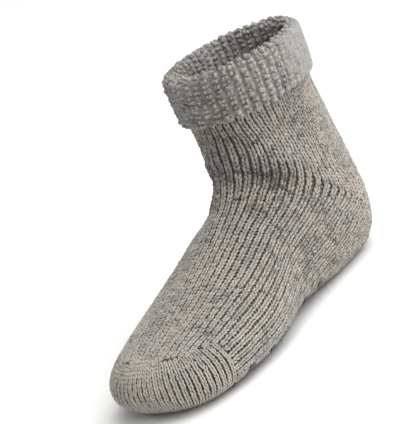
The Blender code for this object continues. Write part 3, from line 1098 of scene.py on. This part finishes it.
def scatter_hair(name, skin, out, stations, count, lengths, lean, seed, node):
    """Hairs strewn over a skin, each turned at random about the outward direction and leaning off it."""
    station = chance.integers(*stations, count)
    column = chance.integers(0, skin.shape[1], count)
    lengths = chance.uniform(*lengths, count)
    clear = skin[station, column, 2] > 0.004
    spots = skin[station, column][clear]
    count = len(spots)
    outward = out[station, column][clear] + chance.normal(0, lean, (count, 3))
    outward /= np.linalg.norm(outward, axis=1, keepdims=True)
    anywhere = chance.normal(0, 1, (count, 3))
    across, heading, outward = square_up(anywhere, outward)
    sizes = np.stack([np.full(count, 0.9), np.full(count, 0.9), lengths[clear] / hair_length], axis=1)
    tone_and_painted_shade = chance.normal(0, 0.8, count)
    piece = lay(name, hair, spots, across, heading, outward, sizes, tone_and_painted_shade, fibre, 0.1, seed)
    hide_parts(node)


shown_part = np.searchsorted(arc, (hem_arc, lining_arc - 0.004))
scatter_hair(
    "cuff_fibres", cuff_skin, cuff_out, shown_part, 22000, (0.0006, 0.0015), 0.55, 17,
    "turned_cuff",
)
uncovered_part = (40, int(place_count * 0.93))
scatter_hair(
    "knit_fibres", skin, out, uncovered_part, 7000, (0.0008, 0.0022), 0.6, 19,
    "knit_leg_and_foot",
)


# Floor, lights and camera: a plain pale floor and a soft studio light from the upper right.
# The camera is rolled, so the sock leans and points its toe down to the left as in the photograph.
pale_floor, _, _ = new_material("pale_floor", Base_Color=(0.94, 0.94, 0.94, 1), Roughness=0.9)
floor_half = 6.0
corners = [(x * floor_half, y * floor_half, 0) for x, y in ((-1, -1), (1, -1), (1, 1), (-1, 1))]
floor = make_mesh("studio_floor", corners, [(0, 1, 2, 3)], pale_floor)

scene = bpy.context.scene
scene.view_settings.view_transform = "Standard"
azimuth = math.radians(-48)
elevation = math.radians(16)
roll = math.radians(22.5)
distance = 1.35
level_back = Vector((math.sin(azimuth), -math.cos(azimuth), 0))
back = level_back * math.cos(elevation) + Vector((0, 0, math.sin(elevation)))
level_right = Vector((math.cos(azimuth), math.sin(azimuth), 0))
upright = back.cross(level_right)
rolled_right = math.cos(roll) * level_right - math.sin(roll) * upright
rolled_up = math.sin(roll) * level_right + math.cos(roll) * upright
target = Vector((0, 0, 0.075)) - 0.0145 * rolled_right + 0.0045 * rolled_up


def add_light(name, side, height, towards_camera, size, power, colour):
    """A soft square light, placed by the camera's right, up and back directions, aimed at the sock."""
    spot = target + level_right * side + Vector((0, 0, height)) + level_back * towards_camera
    data = bpy.data.lights.new(name, "AREA")
    data.size = size
    data.energy = power
    data.color = colour
    lamp = bpy.data.objects.new(name, data)
    lamp.location = spot
    lamp.rotation_euler = (spot - target).to_track_quat("Z", "Y").to_euler()
    scene.collection.objects.link(lamp)


add_light("key", 1.0, 1.6, 0.3, 1.8, 22, (1.0, 0.99, 0.97))
add_light("rim", -1.3, 0.6, -0.9, 0.6, 4, (1.0, 0.98, 0.95))

# The studio's walls: a large bright sheet to the right and behind, a dim room to the left and in front
bright_side = (0.78 * level_right + 0.15 * level_back + Vector((0, 0, 0.62))).normalized()
world = bpy.data.worlds.new("studio")
world.use_nodes = True
tree = world.node_tree
direction = add_node(tree, "ShaderNodeTexCoord")
facing = add_node(tree, "ShaderNodeVectorMath", operation="DOT_PRODUCT")
facing.inputs[1].default_value = bright_side
walls = colour_ramp(tree, ((0.0, (0.08, 0.08, 0.08)), (0.85, (1.0, 1.0, 1.0))))
walls.color_ramp.interpolation = "EASE"
tree.links.new(direction.outputs["Generated"], facing.inputs[0])
tree.links.new(facing.outputs["Value"], walls.inputs["Fac"])
tree.links.new(walls.outputs["Color"], tree.nodes["Background"].inputs["Color"])
tree.nodes["Background"].inputs["Strength"].default_value = 1.6
scene.world = world

camera_data = bpy.data.cameras.new("camera")
camera_data.lens = 180
camera_data.sensor_width = 36
camera = bpy.data.objects.new("camera", camera_data)
camera.location = target + back * distance
camera.rotation_euler = Matrix((rolled_right, rolled_up, back)).transposed().to_euler()
scene.collection.objects.link(camera)
scene.camera = camera
